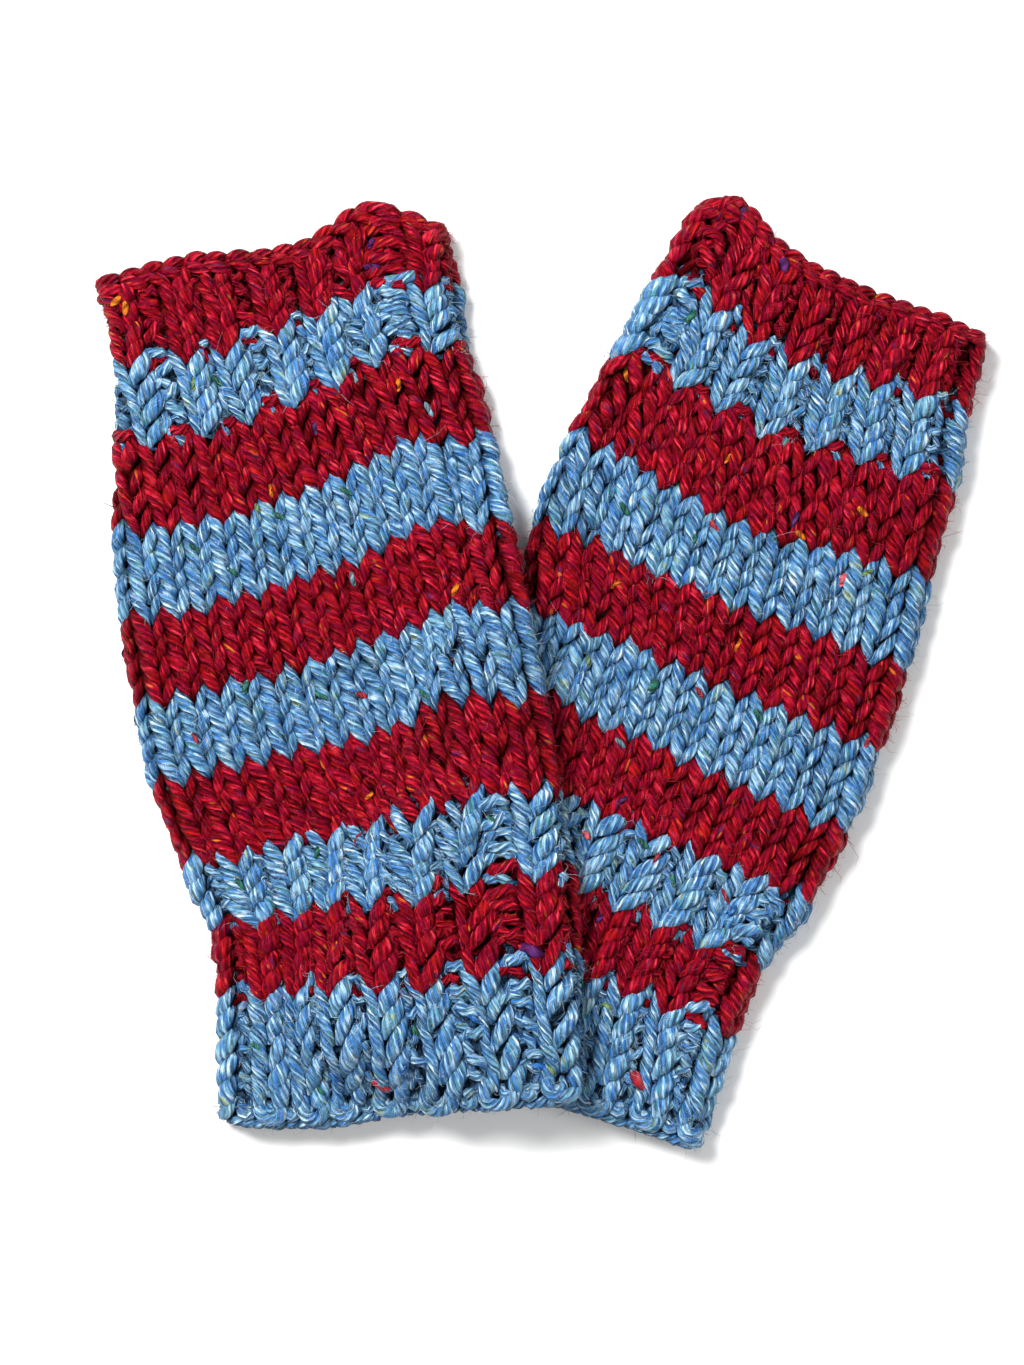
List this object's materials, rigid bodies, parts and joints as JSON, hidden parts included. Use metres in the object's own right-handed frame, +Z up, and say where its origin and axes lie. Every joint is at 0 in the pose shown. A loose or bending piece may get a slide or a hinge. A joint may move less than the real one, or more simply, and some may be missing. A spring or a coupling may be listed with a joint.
{
  "type": "pair of knitted fingerless gloves",
  "caption": "Knitted fingerless gloves, wide stripes between ribbed wrists and ribbed finger ends, laid flat with one wrist over the other.",
  "frame": {"origin": "middle of the pair's own box, on the surface that it lies on", "axes": "+X across the pair, to the right when the finger ends point away; +Y from the wrists to the finger ends; +Z up from the surface"},
  "size_m": [0.2018, 0.2152, 0.021],
  "materials": {
    "red_tweed_yarn": "plied crimson tweed yarn with flecks, soft sheen, a little fuzz",
    "blue_tweed_yarn": "plied light-blue tweed yarn with white streaks and flecks, soft sheen"
  },
  "bodies": {
    "root": {"left_cast_on_edge": "blue_tweed_yarn", "left_stripe_01_blue": "blue_tweed_yarn", "left_stripe_02_red": "red_tweed_yarn", "left_stripe_03_blue": "blue_tweed_yarn", "left_stripe_04_red": "red_tweed_yarn", "left_stripe_05_blue": "blue_tweed_yarn", "left_stripe_06_red": "red_tweed_yarn", "left_stripe_07_blue": "blue_tweed_yarn", "left_stripe_08_red": "red_tweed_yarn", "left_stripe_09_blue": "blue_tweed_yarn", "left_stripe_10_red": "red_tweed_yarn", "left_bind_off_edge": "red_tweed_yarn", "right_cast_on_edge": "blue_tweed_yarn", "right_stripe_01_blue": "blue_tweed_yarn", "right_stripe_02_red": "red_tweed_yarn", "right_stripe_03_blue": "blue_tweed_yarn", "right_stripe_04_red": "red_tweed_yarn", "right_stripe_05_blue": "blue_tweed_yarn", "right_stripe_06_red": "red_tweed_yarn", "right_stripe_07_blue": "blue_tweed_yarn", "right_stripe_08_red": "red_tweed_yarn", "right_stripe_09_blue": "blue_tweed_yarn", "right_stripe_10_red": "red_tweed_yarn", "right_bind_off_edge": "red_tweed_yarn"}
  },
  "joints": []
}
